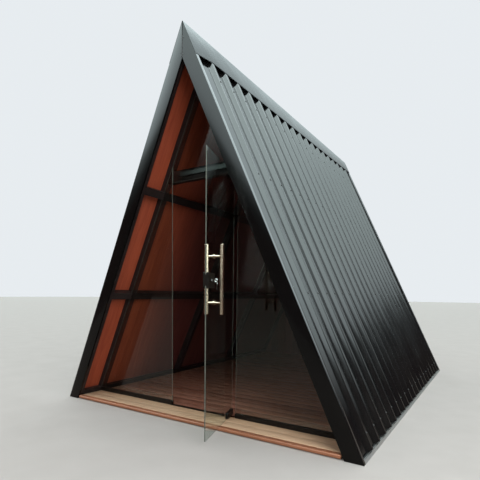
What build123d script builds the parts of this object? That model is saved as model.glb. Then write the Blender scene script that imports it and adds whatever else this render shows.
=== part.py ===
"""A-frame cabin: timber frames under a folded steel roof that runs down to the ground.

Millimetres. X is to the right as seen from the front, Y runs to the back, Z is up.
The origin lies on the ground, on the centre line, halfway along the cabin.
"""

from build123d import *
import os
from math import cos, hypot, radians, sin

os.makedirs("parts", exist_ok=True)

# The cabin as a whole
ridge_height = 3300.0
base_width = 3120.0
cabin_length = 4070.0

# Roof layers, each measured square to the slope
cap_thickness = 1.0
flashing_thickness = 1.0
sheet_thickness = 0.8
rib_height = 30.0
lining_thickness = 15.0
rafter_depth = 73.0

# Trapezoidal roof sheets
rib_pitch = 200.0
rib_crest_width = 32.0
rib_flank_run = 22.0
ribs_per_sheet = 5
sheets_per_side = 4
first_rib_setback = 264.0
side_joint = 1.0
sheet_top_gap = 4.0

# Flashings
cap_front_leg = 275.0
cap_rear_leg = 205.0
verge_cover = 38.0
verge_return = 16.0
eaves_height = 20.0
eaves_joint = 4.0

# Timber frames
rafter_width = 50.0
glazed_frame_setback = 295.0
middle_frame_count = 2
header_drop = 1167.0
header_height = 105.0
purlin_height = 70.0
upper_purlin_distance = 1320.0
lower_purlin_distance = 2370.0
foot_plate_height = 80.0

# Floor
base_thickness = 10.0
base_setback = 25.0
floor_thickness = 25.0
nosing_thickness = 30.0
nosing_depth = 45.0
nosing_rounding = 12.0
floor_side_gap = 12.0
board_joint = 1.0

# Glass front
glass_thickness = 8.0
doorway_width = 730.0
leaf_gap = 8.0
leaf_bottom_gap = 11.0
leaf_top_gap = 9.0
transom_drop = 2.0
transom_joint = 6.0
pane_cover = 15.0
rail_height = 40.0
rail_width = 30.0
rail_bite = 12.0
clamp_rise = 45.0
clamp_height = 36.0
clamp_thickness = 12.0
clamp_length = 520.0
threshold_height = 4.0
threshold_width = 40.0
open_angle = 108.0

# Door fittings
pivot_inset = 50.0
patch_length = 164.0
patch_height = 51.0
patch_thickness = 30.0
patch_corner = 8.0
patch_core_length = 110.0
patch_core_height = 32.0
pivot_radius = 8.0
pivot_depth = 22.0
pivot_plate_thickness = 4.0
pivot_plate_length = 96.0
pivot_running_gap = 0.3
lock_length = 150.0
lock_height = 110.0
lock_thickness = 38.0
lock_corner = 6.0
lock_centre_height = 1205.0
lock_core_length = 120.0
lock_core_height = 80.0
cylinder_setback = 60.0
cylinder_radius = 14.0
cylinder_stand = 8.0
keyhole_width = 3.0
keyhole_height = 12.0
keyhole_depth = 4.0
pull_radius = 15.0
pull_rounding = 3.0
pull_length = 520.0
pull_centre_height = 1215.0
pull_setback = 188.0
pull_stand = 62.0
pull_hole_spacing = 345.0
crossbar_radius = 9.0
rose_radius = 17.0
rose_thickness = 5.0

# Rear wall
wall_thickness = 22.0
wall_setback = 24.0

# Worked out from the sizes above
half_width = base_width / 2
slope_length = hypot(half_width, ridge_height)
slope_sin = half_width / slope_length
slope_cos = ridge_height / slope_length
front = -cabin_length / 2
rear = cabin_length / 2
flashing_top = cap_thickness
crest_depth = flashing_top + flashing_thickness
pan_depth = crest_depth + rib_height
lining_top = pan_depth + sheet_thickness
sheet_top_distance = lining_top * slope_cos / slope_sin + sheet_top_gap
lining_bottom = lining_top + lining_thickness
rafter_inner = lining_bottom + rafter_depth
verge_inner = rafter_inner + flashing_thickness
frame_front = front + flashing_thickness
frame_rear = rear - flashing_thickness
glazed_front = front + glazed_frame_setback
glazed_rear = glazed_front + rafter_width
floor_top = base_thickness + floor_thickness
glass_plane = glazed_front - glass_thickness / 2
header_bottom = ridge_height - header_drop
clamp_bottom = header_bottom + clamp_rise
pane_edge = doorway_width / 2
leaf_edge = pane_edge - leaf_gap
leaf_bottom = floor_top + leaf_bottom_gap
leaf_top = header_bottom - leaf_top_gap
transom_bottom = header_bottom + transom_drop
pane_depth = rafter_inner - pane_cover
pivot_x = leaf_edge - pivot_inset
free_edge = 2 * leaf_edge - pivot_inset
wall_front = rear - wall_setback - wall_thickness


def slope_x(depth, height):
    """How far out a roof layer lies, at a depth below the outer face and a height."""
    return (slope_sin * (ridge_height - height) - depth) / slope_cos


def slope_z(depth, x):
    """The height of a roof layer at a distance from the centre line."""
    return ridge_height - (slope_cos * x + depth) / slope_sin


def slope_point(distance, depth):
    """A point of the right slope in the gable plane, by its way down from the ridge."""
    x = distance * slope_sin - depth * slope_cos
    z = ridge_height - distance * slope_cos - depth * slope_sin
    return (x, z)


def gable_plane(y):
    """A drawing plane across the cabin; extruding by a negative amount goes to the back."""
    return Plane.XZ.offset(-y)


def layer_outline(outer, inner):
    """The right half of a roof layer, mitred at the ridge and cut level at the ground."""
    with BuildLine() as outline:
        Polyline(
            (0, slope_z(outer, 0)),
            (0, slope_z(inner, 0)),
            (slope_x(inner, 0), 0),
            (slope_x(outer, 0), 0),
            close=True,
        )
    return outline.line


def level_outline(outer, inner, bottom, top):
    """The right half of a roof layer between two heights."""
    with BuildLine() as outline:
        Polyline(
            (slope_x(outer, bottom), bottom),
            (slope_x(outer, top), top),
            (slope_x(inner, top), top),
            (slope_x(inner, bottom), bottom),
            close=True,
        )
    return outline.line


def timber_outline(distance, height, outer, inner):
    """The section of a timber laid square along the right slope."""
    with BuildLine() as outline:
        Polyline(
            slope_point(distance, outer),
            slope_point(distance + height, outer),
            slope_point(distance + height, inner),
            slope_point(distance, inner),
            close=True,
        )
    return outline.line


def write(part, name):
    """Label a finished piece and write it under its own name."""
    part.label = name
    export_step(part, f"parts/{name}.step")


def write_pair(part, name):
    """Write a right-hand piece and its mirror image on the left."""
    write(part, f"{name}_right")
    write(mirror(part, about=Plane.YZ), f"{name}_left")


# Rafters: every frame is a pair of timbers that meet at the ridge
middle_step = (frame_rear - rafter_width - glazed_front) / (middle_frame_count + 1)
middle_starts = [glazed_front + middle_step * (n + 1) for n in range(middle_frame_count)]
frames = {
    "front_rafter": [frame_front],
    "glazed_rafter": [glazed_front],
    "middle_rafters": middle_starts,
    "rear_rafter": [frame_rear - rafter_width],
}
for rafter_name, rafter_starts in frames.items():
    with BuildPart() as rafter:
        for rafter_start in rafter_starts:
            with BuildSketch(gable_plane(rafter_start)):
                with BuildLine():
                    add(layer_outline(lining_bottom, rafter_inner))
                make_face()
            extrude(amount=-rafter_width)
    write_pair(rafter.part, rafter_name)

# Fixed panes: a triangle of glass on each side of the doorway, held in a rail at the floor
glass_front = glass_plane - glass_thickness / 2
pane_bottom = floor_top + rail_height - rail_bite
with BuildPart() as pane:
    with BuildSketch(gable_plane(glass_front)):
        with BuildLine():
            Polyline(
                (pane_edge, pane_bottom),
                (slope_x(pane_depth, pane_bottom), pane_bottom),
                (pane_edge, slope_z(pane_depth, pane_edge)),
                close=True,
            )
        make_face()
    extrude(amount=-glass_thickness)
write(pane.part, "right_pane")
write(mirror(pane.part, about=Plane.YZ), "left_pane")

# Purlins and foot plates: cut in between the rafters and notched for the panes
frame_starts = [start for starts in frames.values() for start in starts]
bays = [(a + rafter_width, b) for a, b in zip(frame_starts[:-1], frame_starts[1:])]
between_rafters = {
    "upper_purlins": timber_outline(
        upper_purlin_distance, purlin_height, lining_bottom, rafter_inner
    ),
    "lower_purlins": timber_outline(
        lower_purlin_distance, purlin_height, lining_bottom, rafter_inner
    ),
    "foot_plates": level_outline(lining_bottom, rafter_inner, 0, foot_plate_height),
}
for timber_name, timber_section in between_rafters.items():
    with BuildPart() as timber:
        for bay_start, bay_end in bays:
            with BuildSketch(gable_plane(bay_start)):
                with BuildLine():
                    add(timber_section)
                make_face()
            extrude(amount=bay_start - bay_end)
        add(pane.part, mode=Mode.SUBTRACT)
    write_pair(timber.part, timber_name)

# Header: the tie across the glazed frame, cut to the rafters' inner faces
with BuildPart() as header:
    with BuildSketch(gable_plane(glazed_front)):
        with BuildLine():
            header_top = header_bottom + header_height
            Polyline(
                (-slope_x(rafter_inner, header_bottom), header_bottom),
                (slope_x(rafter_inner, header_bottom), header_bottom),
                (slope_x(rafter_inner, header_top), header_top),
                (-slope_x(rafter_inner, header_top), header_top),
                close=True,
            )
        make_face()
    extrude(amount=-rafter_width)
write(header.part, "header")

# Lining: boards on the rafters' outer faces, seen from below between the timbers
with BuildPart() as lining:
    with BuildSketch(gable_plane(frame_front)):
        with BuildLine():
            add(layer_outline(lining_top, lining_bottom))
        make_face()
    extrude(amount=frame_front - frame_rear)
write_pair(lining.part, "lining")


def rib_corners(rib):
    """The four folds of one rib, as places along the cabin and depths below the roof."""
    half_crest = rib_crest_width / 2
    half_foot = half_crest + rib_flank_run
    return [
        (rib - half_foot, pan_depth),
        (rib - half_crest, crest_depth),
        (rib + half_crest, crest_depth),
        (rib + half_foot, pan_depth),
    ]


def sheet_outline(start, end):
    """One roof sheet seen from its end, with flat pans and trapezoidal ribs."""
    rib_count = ribs_per_sheet * sheets_per_side - 1
    ribs = [front + first_rib_setback + rib_pitch * n for n in range(rib_count)]
    top = []
    for edge in (start, end):
        on_crest = any(abs(edge - rib) <= rib_crest_width / 2 for rib in ribs)
        top.append((edge, crest_depth if on_crest else pan_depth))
    top[1:1] = [fold for rib in ribs for fold in rib_corners(rib) if start < fold[0] < end]
    under = [(y, depth + sheet_thickness) for y, depth in reversed(top)]
    return top + under


# Roof sheets: folded ribs run from the ridge to the ground, one sheet beside the next
sheet_start_x, sheet_start_z = slope_point(sheet_top_distance, 0)
sheet_plane = Plane(
    origin=(sheet_start_x, 0, sheet_start_z),
    x_dir=(0, 1, 0),
    z_dir=(-slope_sin, 0, slope_cos),
)
sheet_foot = eaves_height + eaves_joint
sheet_end = (ridge_height - sheet_foot - crest_depth * slope_sin) / slope_cos
sheet_cover = rib_pitch * ribs_per_sheet
first_pan = front + first_rib_setback - rib_pitch
joints = [first_pan + sheet_cover * n for n in range(1, sheets_per_side)]
sheet_starts = [frame_front, *[joint + side_joint / 2 for joint in joints]]
sheet_ends = [*[joint - side_joint / 2 for joint in joints], frame_rear]
with BuildPart() as roof_sheets:
    for start, end in zip(sheet_starts, sheet_ends):
        with BuildSketch(sheet_plane):
            with BuildLine():
                Polyline(*sheet_outline(start, end), close=True)
            make_face()
        extrude(amount=sheet_top_distance - sheet_end)
write_pair(roof_sheets.part, "roof_sheets")

# Ridge cap: one strip folded along the ridge, over the top ends of the sheets. Its legs
# were trimmed by hand and get narrower towards the back.
cap_plane = Plane(
    origin=(0, 0, ridge_height),
    x_dir=(0, 1, 0),
    z_dir=(slope_cos, 0, slope_sin),
)
with BuildPart() as ridge_cap:
    with BuildSketch(gable_plane(front)):
        with BuildLine():
            Polyline(
                (0, ridge_height),
                slope_point(cap_front_leg, 0),
                slope_point(cap_front_leg, cap_thickness),
                (0, slope_z(cap_thickness, 0)),
                close=True,
            )
        make_face()
    extrude(amount=-cabin_length)
    with BuildSketch(cap_plane):
        with BuildLine():
            Polyline(
                (front, -cap_front_leg),
                (rear, -cap_front_leg),
                (rear, -cap_rear_leg),
                close=True,
            )
        make_face()
    extrude(amount=cap_thickness, both=True, mode=Mode.SUBTRACT)
    mirror(about=Plane.YZ)
write(ridge_cap.part, "ridge_cap")

# Verge flashings: a face over the layers' ends with a return inside, and on top a narrow
# leg that is turned down onto the first pan
with BuildPart() as front_verge:
    with BuildSketch(gable_plane(front)):
        with BuildLine():
            add(layer_outline(flashing_top, verge_inner))
        make_face()
    extrude(amount=-flashing_thickness)
    with BuildSketch(gable_plane(front)):
        with BuildLine():
            add(layer_outline(flashing_top, crest_depth))
        make_face()
    extrude(amount=-verge_cover)
    with BuildSketch(gable_plane(front + verge_cover - flashing_thickness)):
        with BuildLine():
            add(layer_outline(crest_depth, pan_depth))
        make_face()
    extrude(amount=-flashing_thickness)
    with BuildSketch(gable_plane(front)):
        with BuildLine():
            add(layer_outline(rafter_inner, verge_inner))
        make_face()
    extrude(amount=-verge_return)
write_pair(front_verge.part, "front_verge_flashing")
write_pair(mirror(front_verge.part, about=Plane.XZ), "rear_verge_flashing")

# Eaves flashings: an angle along each foot of the roof, between the verges
with BuildPart() as eaves:
    with BuildSketch(gable_plane(front + verge_cover)):
        with BuildLine():
            Polyline(
                (slope_x(flashing_top, 0), 0),
                (slope_x(flashing_top, eaves_height), eaves_height),
                (slope_x(crest_depth, eaves_height), eaves_height),
                (slope_x(crest_depth, flashing_thickness), flashing_thickness),
                (slope_x(lining_top, flashing_thickness), flashing_thickness),
                (slope_x(lining_top, 0), 0),
                close=True,
            )
        make_face()
    extrude(amount=2 * verge_cover - cabin_length)
write_pair(eaves.part, "eaves_flashing")


def floor_sketch(start, end):
    """A rectangle across the floor between two places along the cabin."""
    floor_half = slope_x(rafter_inner, floor_top) - floor_side_gap
    with BuildSketch() as area:
        with Locations((0, (start + end) / 2)):
            Rectangle(2 * floor_half, end - start)
    return area.sketch


# Floor: a thin base, boards on the porch and inside, and a rounded edge at the front
nosing_back = front + nosing_depth
with BuildPart() as floor_base:
    add(floor_sketch(front + base_setback, wall_front))
    extrude(amount=base_thickness)
write(floor_base.part, "floor_base")

with BuildPart() as porch_boards:
    add(floor_sketch(nosing_back + board_joint, glazed_front).moved(Pos(0, 0, base_thickness)))
    extrude(amount=floor_thickness)
write(porch_boards.part, "porch_boards")

with BuildPart() as floor_boards:
    add(floor_sketch(glazed_front + board_joint, wall_front).moved(Pos(0, 0, base_thickness)))
    extrude(amount=floor_thickness)
write(floor_boards.part, "floor_boards")

with BuildPart() as nosing:
    add(floor_sketch(front, nosing_back).moved(Pos(0, 0, floor_top - nosing_thickness)))
    extrude(amount=nosing_thickness)
    fillet(nosing.edges().filter_by(Axis.X).group_by(Axis.Y)[0], radius=nosing_rounding)
    add(floor_sketch(front + base_setback, wall_front))
    extrude(amount=base_thickness, mode=Mode.SUBTRACT)
write(nosing.part, "floor_nosing")

# Rear wall: one boarded panel between the rear rafters
with BuildPart() as rear_wall:
    with BuildSketch(gable_plane(wall_front)):
        with BuildLine():
            Polyline(
                (0, slope_z(rafter_inner, 0)),
                (slope_x(rafter_inner, 0), 0),
                (-slope_x(rafter_inner, 0), 0),
                close=True,
            )
        make_face()
    extrude(amount=-wall_thickness)
write(rear_wall.part, "rear_wall")

# Pane rails: channels on the floor, slotted for the panes
with BuildPart() as pane_rails:
    with BuildSketch(gable_plane(glass_plane - rail_width / 2)):
        with BuildLine():
            rail_top = floor_top + rail_height
            Polyline(
                (pane_edge, floor_top),
                (slope_x(rafter_inner, floor_top), floor_top),
                (slope_x(rafter_inner, rail_top), rail_top),
                (pane_edge, rail_top),
                close=True,
            )
        make_face()
    extrude(amount=-rail_width)
    add(pane.part, mode=Mode.SUBTRACT)
    mirror(about=Plane.YZ)
write(pane_rails.part, "pane_rails")

# Transom pane: the peak of the glass front, against the header and the rafters
with BuildPart() as transom:
    with BuildSketch(gable_plane(glass_front)):
        with BuildLine():
            Polyline(
                (-slope_x(pane_depth, 0), 0),
                (slope_x(pane_depth, 0), 0),
                (0, slope_z(pane_depth, 0)),
                close=True,
            )
        make_face()
        with Locations((0, (transom_bottom + ridge_height) / 2)):
            transom_width = 2 * (pane_edge - transom_joint)
            Rectangle(transom_width, ridge_height - transom_bottom, mode=Mode.INTERSECT)
    extrude(amount=-glass_thickness)
write(transom.part, "transom_pane")

with BuildPart() as clamp:
    with BuildSketch(gable_plane(glass_front)):
        with Locations((0, clamp_bottom + clamp_height / 2)):
            Rectangle(clamp_length, clamp_height)
    extrude(amount=clamp_thickness)
write(clamp.part, "transom_clamp")

# Threshold: a flat strip across the doorway, up to the plate of the floor pivot
with BuildPart() as threshold:
    threshold_end = pivot_x - pivot_plate_length / 2 - board_joint
    with BuildSketch(Plane.XY.offset(floor_top)):
        with Locations(((threshold_end - pane_edge) / 2, glass_plane)):
            Rectangle(threshold_end + pane_edge, threshold_width)
    extrude(amount=threshold_height)
write(threshold.part, "threshold")

# Door leaf: a sheet of glass drawn in its own plane, from the pivot to the free edge
leaf_direction = (-cos(radians(open_angle)), -sin(radians(open_angle)), 0)
leaf_inward = (-sin(radians(open_angle)), cos(radians(open_angle)), 0)
leaf_plane = Plane(
    origin=(pivot_x, glass_plane, 0), x_dir=leaf_direction, z_dir=leaf_inward
)


def leaf_rectangle(start, end, bottom, top, mode=Mode.ADD):
    """A rectangle on the leaf, from one distance to another and between two heights."""
    with Locations(((start + end) / 2, (bottom + top) / 2)):
        Rectangle(end - start, top - bottom, mode=mode)


def patch_core(edge, inward, mode=Mode.ADD):
    """The block inside a patch, which fills a notch in the corner of the glass."""
    bottom, top = sorted((edge, edge + inward * patch_core_height))
    leaf_rectangle(-pivot_inset, patch_core_length - pivot_inset, bottom, top, mode)


def lock_rectangle(length, height, mode=Mode.ADD):
    """A rectangle at the free edge of the leaf, at the height of the lock."""
    bottom = lock_centre_height - height / 2
    leaf_rectangle(free_edge - length, free_edge, bottom, bottom + height, mode)


with BuildPart() as door_glass:
    with BuildSketch(leaf_plane):
        leaf_rectangle(-pivot_inset, free_edge, leaf_bottom, leaf_top)
    extrude(amount=glass_thickness / 2, both=True)
    with BuildSketch(leaf_plane):
        patch_core(leaf_bottom, 1)
        patch_core(leaf_top, -1)
        lock_rectangle(lock_core_length, lock_core_height)
    extrude(amount=glass_thickness / 2, both=True, mode=Mode.SUBTRACT)
write(door_glass.part, "door_glass")

# Patches: clamps on the corners of the leaf, each with a bore for its pivot
for patch_name, edge, inward in (("bottom_patch", leaf_bottom, 1), ("top_patch", leaf_top, -1)):
    bottom, top = sorted((edge, edge + inward * patch_height))
    with BuildPart() as patch:
        with BuildSketch(leaf_plane) as patch_face:
            leaf_rectangle(-pivot_inset, patch_length - pivot_inset, bottom, top)
            inner_corners = patch_face.vertices().group_by(Axis.Z)[-1 if inward > 0 else 0]
            fillet(inner_corners, radius=patch_corner)
        extrude(amount=patch_thickness / 2, both=True)
        with BuildSketch(leaf_plane):
            leaf_rectangle(-pivot_inset, patch_length - pivot_inset, bottom, top)
            patch_core(edge, inward, Mode.SUBTRACT)
        extrude(amount=glass_thickness / 2, both=True, mode=Mode.SUBTRACT)
        with BuildSketch(Plane(origin=(pivot_x, glass_plane, edge), z_dir=(0, 0, inward))):
            Circle(pivot_radius + pivot_running_gap)
        extrude(amount=pivot_depth, mode=Mode.SUBTRACT)
    write(patch.part, patch_name)

# Pivots: a plate with a pin, one on the floor and one under the header
pin_reach = pivot_depth - pivot_running_gap
with BuildPart() as floor_pivot:
    with BuildSketch(Plane.XY.offset(floor_top)):
        with Locations((pivot_x, glass_plane)):
            Rectangle(pivot_plate_length, threshold_width)
    extrude(amount=pivot_plate_thickness)
    with BuildSketch(Plane.XY.offset(floor_top + pivot_plate_thickness)):
        with Locations((pivot_x, glass_plane)):
            Circle(pivot_radius)
    extrude(amount=leaf_bottom_gap - pivot_plate_thickness + pin_reach)
write(floor_pivot.part, "floor_pivot")

with BuildPart() as top_pivot:
    plate_front = glass_plane - patch_thickness / 2
    plate_bottom = header_bottom - pivot_plate_thickness
    with BuildSketch(Plane.XY.offset(plate_bottom)):
        with Locations((pivot_x, (plate_front + glazed_rear) / 2)):
            Rectangle(pivot_plate_length, glazed_rear - plate_front)
    extrude(amount=pivot_plate_thickness)
    with BuildSketch(Plane.XY.offset(plate_bottom)):
        with Locations((pivot_x, glass_plane)):
            Circle(pivot_radius)
    extrude(amount=pivot_plate_thickness - leaf_top_gap - pin_reach)
write(top_pivot.part, "top_pivot")

# Lock: a case over both faces of the glass, with a cylinder on either side
with BuildPart() as lock:
    with BuildSketch(leaf_plane) as lock_face:
        lock_rectangle(lock_length, lock_height)
        fillet(lock_face.vertices(), radius=lock_corner)
    extrude(amount=lock_thickness / 2, both=True)
    with BuildSketch(leaf_plane):
        with Locations((free_edge - cylinder_setback, lock_centre_height)):
            Circle(cylinder_radius)
    extrude(amount=lock_thickness / 2 + cylinder_stand, both=True)
    with BuildSketch(leaf_plane):
        lock_rectangle(lock_length, lock_height)
        lock_rectangle(lock_core_length, lock_core_height, Mode.SUBTRACT)
    extrude(amount=glass_thickness / 2, both=True, mode=Mode.SUBTRACT)
    for side in (1, -1):
        with BuildSketch(leaf_plane.offset(side * (lock_thickness / 2 + cylinder_stand))):
            with Locations((free_edge - cylinder_setback, lock_centre_height)):
                Rectangle(keyhole_width, keyhole_height)
        extrude(amount=-side * keyhole_depth, mode=Mode.SUBTRACT)
write(lock.part, "door_lock")

# Pulls: an upright bar on two short arms, one on each face of the leaf
for pull_name, side in (("inner_pull", 1), ("outer_pull", -1)):
    pull_place = free_edge - pull_setback
    glass_face = glass_thickness / 2
    arm_heights = [pull_centre_height + step * pull_hole_spacing / 2 for step in (-1, 1)]
    bar_foot = leaf_plane.from_local_coords(
        (pull_place, pull_centre_height - pull_length / 2, side * pull_stand)
    )
    with BuildPart() as pull:
        with BuildSketch(Plane(origin=bar_foot, z_dir=(0, 0, 1))):
            Circle(pull_radius)
        extrude(amount=pull_length)
        fillet(pull.edges(), radius=pull_rounding)
        for arm_height in arm_heights:
            with BuildSketch(leaf_plane.offset(side * glass_face)):
                with Locations((pull_place, arm_height)):
                    Circle(crossbar_radius)
            extrude(amount=side * (pull_stand - glass_face))
            with BuildSketch(leaf_plane.offset(side * glass_face)):
                with Locations((pull_place, arm_height)):
                    Circle(rose_radius)
            extrude(amount=side * rose_thickness)
    write(pull.part, pull_name)
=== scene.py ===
import math

import bpy
from mathutils import Matrix, Vector


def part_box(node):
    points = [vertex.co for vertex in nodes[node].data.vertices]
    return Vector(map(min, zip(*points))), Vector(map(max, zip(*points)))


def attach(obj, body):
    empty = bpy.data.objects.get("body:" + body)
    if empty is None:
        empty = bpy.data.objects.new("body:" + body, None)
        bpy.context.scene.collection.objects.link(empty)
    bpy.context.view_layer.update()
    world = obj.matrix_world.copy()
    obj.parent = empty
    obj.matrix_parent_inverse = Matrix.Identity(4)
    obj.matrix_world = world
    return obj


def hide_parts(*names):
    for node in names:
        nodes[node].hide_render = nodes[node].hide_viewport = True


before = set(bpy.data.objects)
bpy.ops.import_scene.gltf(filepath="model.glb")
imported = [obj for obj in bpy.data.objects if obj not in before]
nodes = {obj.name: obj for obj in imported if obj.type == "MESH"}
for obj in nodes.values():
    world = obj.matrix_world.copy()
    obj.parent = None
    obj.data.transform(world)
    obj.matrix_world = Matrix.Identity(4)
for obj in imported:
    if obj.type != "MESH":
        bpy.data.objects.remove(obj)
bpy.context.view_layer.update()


# Camera: in front of the cabin and to its right, at chest height, turned to the left.
# The picture is the upper part of a tall one, so the lens is shifted upwards.
camera_place = Vector((2.241, -4.631, 1.111))
camera_turn = 0.568
camera_tilt = -0.069
camera_roll = 0.012
forward = Vector(
    (
        -math.sin(camera_turn) * math.cos(camera_tilt),
        math.cos(camera_turn) * math.cos(camera_tilt),
        math.sin(camera_tilt),
    )
)
level_right = Vector((math.cos(camera_turn), math.sin(camera_turn), 0))
level_up = level_right.cross(forward)
right = level_right * math.cos(camera_roll) + level_up * math.sin(camera_roll)
up = level_up * math.cos(camera_roll) - level_right * math.sin(camera_roll)
camera = bpy.data.objects.new("camera", bpy.data.cameras.new("camera"))
bpy.context.scene.collection.objects.link(camera)
camera.matrix_world = Matrix.Translation(camera_place) @ Matrix(
    (right, up, -forward)
).transposed().to_4x4()
camera.data.sensor_width = 36
camera.data.lens = 30.22
camera.data.shift_y = 0.1704
camera.data.clip_end = 200
bpy.context.scene.camera = camera
bpy.context.scene.view_settings.view_transform = "Standard"


# Studio: a wide pale floor under an even pale sky, with one broad soft lamp high in front.
# Gloss sees the sky fade towards the horizon, as it does over open ground.
def add_node(tree, kind, values=None, **settings):
    """A node with its settings, and its sockets set or linked."""
    node = tree.nodes.new(kind)
    for setting, value in settings.items():
        setattr(node, setting, value)
    for socket, value in (values or {}).items():
        if isinstance(value, bpy.types.NodeSocket):
            tree.links.new(value, node.inputs[socket])
        else:
            node.inputs[socket].default_value = value
    return node


def add_ramp(tree, factor, stops):
    """A colour ramp with a grey value or a colour at each stop."""
    node = add_node(tree, "ShaderNodeValToRGB", {"Fac": factor})
    elements = node.color_ramp.elements
    while len(elements) < len(stops):
        elements.new(0.5)
    for element, (place, value) in zip(elements, stops):
        element.position = place
        element.color = (*value, 1) if isinstance(value, tuple) else (value, value, value, 1)
    return node.outputs["Color"]


def calculate(tree, operation, *values):
    """The result of a sum on sockets and numbers."""
    inputs = dict(enumerate(values))
    return add_node(tree, "ShaderNodeMath", inputs, operation=operation).outputs[0]


def mix_shaders(tree, factor, first, second):
    """One shader where the factor is 0 and another where it is 1."""
    sockets = {"Fac": factor, 1: first.outputs[0], 2: second.outputs[0]}
    return add_node(tree, "ShaderNodeMixShader", sockets)


def new_material(name, color, roughness, metallic=0.0, gloss=0.5):
    """A finish whose uniform values sit on the shader's own sockets."""
    material = bpy.data.materials.new(name)
    material.use_nodes = True
    shader = material.node_tree.nodes["Principled BSDF"]
    shader.inputs["Base Color"].default_value = (*color, 1)
    shader.inputs["Roughness"].default_value = roughness
    shader.inputs["Metallic"].default_value = metallic
    shader.inputs["Specular IOR Level"].default_value = gloss
    return material, material.node_tree, shader


world = bpy.data.worlds.new("studio")
bpy.context.scene.world = world
world.use_nodes = True
sky = world.node_tree
sky.nodes.clear()
direction = add_node(sky, "ShaderNodeTexCoord").outputs["Generated"]
along_sky = add_node(sky, "ShaderNodeSeparateXYZ", {"Vector": direction})
height = along_sky.outputs["Z"]
behind = add_node(
    sky,
    "ShaderNodeMapRange",
    {"Value": along_sky.outputs["Y"], "From Min": 0.1, "From Max": 0.6},
)
seen = add_node(sky, "ShaderNodeLightPath")
front_level = 0.40
front_rise = add_ramp(
    sky,
    along_sky.outputs["X"],
    [(0.0, front_level), (0.36, 0.74), (0.75, 0.42), (0.80, 0.30)],
)
front_height = calculate(
    sky, "SUBTRACT", calculate(sky, "ADD", front_rise, height), front_level
)
front_sky = add_node(
    sky,
    "ShaderNodeBackground",
    {
        "Color": add_ramp(
            sky,
            front_height,
            [
                (0.24, (0.008, 0.0045, 0.004)),
                (0.31, (0.020, 0.023, 0.023)),
                (0.37, (0.090, 0.105, 0.105)),
                (0.42, (0.30, 0.35, 0.36)),
                (0.50, (0.42, 0.49, 0.50)),
                (0.68, (0.52, 0.62, 0.62)),
                (0.85, (0.58, 0.70, 0.70)),
                (1.00, (0.66, 0.79, 0.79)),
            ],
        ),
        "Strength": 7.4,
    },
)
back_level = 0.30
sideways = calculate(sky, "ABSOLUTE", along_sky.outputs["X"])
back_rise = add_ramp(sky, sideways, [(0.0, 0.24), (0.33, 0.54), (0.80, 0.20)])
back_height = calculate(sky, "SUBTRACT", calculate(sky, "ADD", back_rise, height), back_level)
back_sky = add_node(
    sky,
    "ShaderNodeBackground",
    {
        "Color": add_ramp(
            sky,
            back_height,
            [
                (0.21, (0.003, 0.001, 0.001)),
                (0.28, (0.034, 0.038, 0.039)),
                (0.36, (0.097, 0.107, 0.109)),
                (0.47, (0.165, 0.194, 0.198)),
                (0.64, (0.250, 0.295, 0.303)),
                (0.78, (0.270, 0.320, 0.330)),
                (0.90, (0.55, 0.65, 0.66)),
                (1.00, (0.95, 1.12, 1.14)),
            ],
        ),
        "Strength": 5.5,
    },
)
mirrored = mix_shaders(sky, behind.outputs[0], front_sky, back_sky)
not_in_front = add_node(
    sky,
    "ShaderNodeMapRange",
    {"Value": along_sky.outputs["Y"], "From Min": -0.6, "From Max": -0.3},
)
through_glass = calculate(
    sky, "MULTIPLY", seen.outputs["Is Transmission Ray"], not_in_front.outputs[0]
)
seen_through = calculate(sky, "MAXIMUM", seen.outputs["Is Camera Ray"], through_glass)
in_gloss_or_glass = calculate(
    sky, "MAXIMUM", seen.outputs["Is Glossy Ray"], seen.outputs["Is Transmission Ray"]
)
backdrop = add_node(sky, "ShaderNodeBackground", {"Color": (0.80, 0.84, 0.87, 1)})
lamp_sky = add_node(
    sky,
    "ShaderNodeBackground",
    {"Color": add_ramp(sky, height, [(0.0, 0.25), (0.35, 0.85), (1.0, 0.95)]), "Strength": 0.95},
)
lit_or_mirrored = mix_shaders(sky, in_gloss_or_glass, lamp_sky, mirrored)
whole_sky = mix_shaders(sky, seen_through, lit_or_mirrored, backdrop)
add_node(sky, "ShaderNodeOutputWorld", {"Surface": whole_sky.outputs[0]})
world.cycles.sampling_method = "NONE"

lamp = bpy.data.objects.new("softbox", bpy.data.lights.new("softbox", "AREA"))
bpy.context.scene.collection.objects.link(lamp)
lamp.data.shape = "SQUARE"
lamp.data.size = 6
lamp.data.energy = 520
lamp.visible_glossy = False
lamp.location = (7.5, -6.5, 4.2)
lamp_aim = Vector((0, -1.0, 1.2))
lamp.rotation_euler = (lamp_aim - lamp.location).to_track_quat("-Z", "Y").to_euler()

bpy.ops.object.select_all(action="DESELECT")
bpy.ops.mesh.primitive_plane_add(size=160, location=(0, 0, -0.001))
floor = bpy.context.object
floor.name = "studio_floor"
floor_finish, floor_tree, floor_shader = new_material("studio_floor", (0.56, 0.545, 0.52), 0.9)
position = add_node(floor_tree, "ShaderNodeTexCoord").outputs["Object"]
speckle = add_node(floor_tree, "ShaderNodeTexNoise", {"Vector": position, "Scale": 3.0})
floor_tree.links.new(
    add_ramp(
        floor_tree,
        speckle.outputs["Fac"],
        [(0.3, (0.55, 0.535, 0.51)), (0.7, (0.58, 0.565, 0.54))],
    ),
    floor_shader.inputs["Base Color"],
)
# Painted reflection: where the floor is seen in a mirror it turns dark brown, for darker ground.
floor_mirrored = add_node(floor_tree, "ShaderNodeBsdfDiffuse", {"Color": (0.20, 0.18, 0.16, 1)})
floor_path = add_node(floor_tree, "ShaderNodeLightPath")
in_a_mirror = calculate(floor_tree, "MINIMUM", floor_path.outputs["Glossy Depth"], 1.0)
floor_mix = mix_shaders(floor_tree, in_a_mirror, floor_shader, floor_mirrored)
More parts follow.
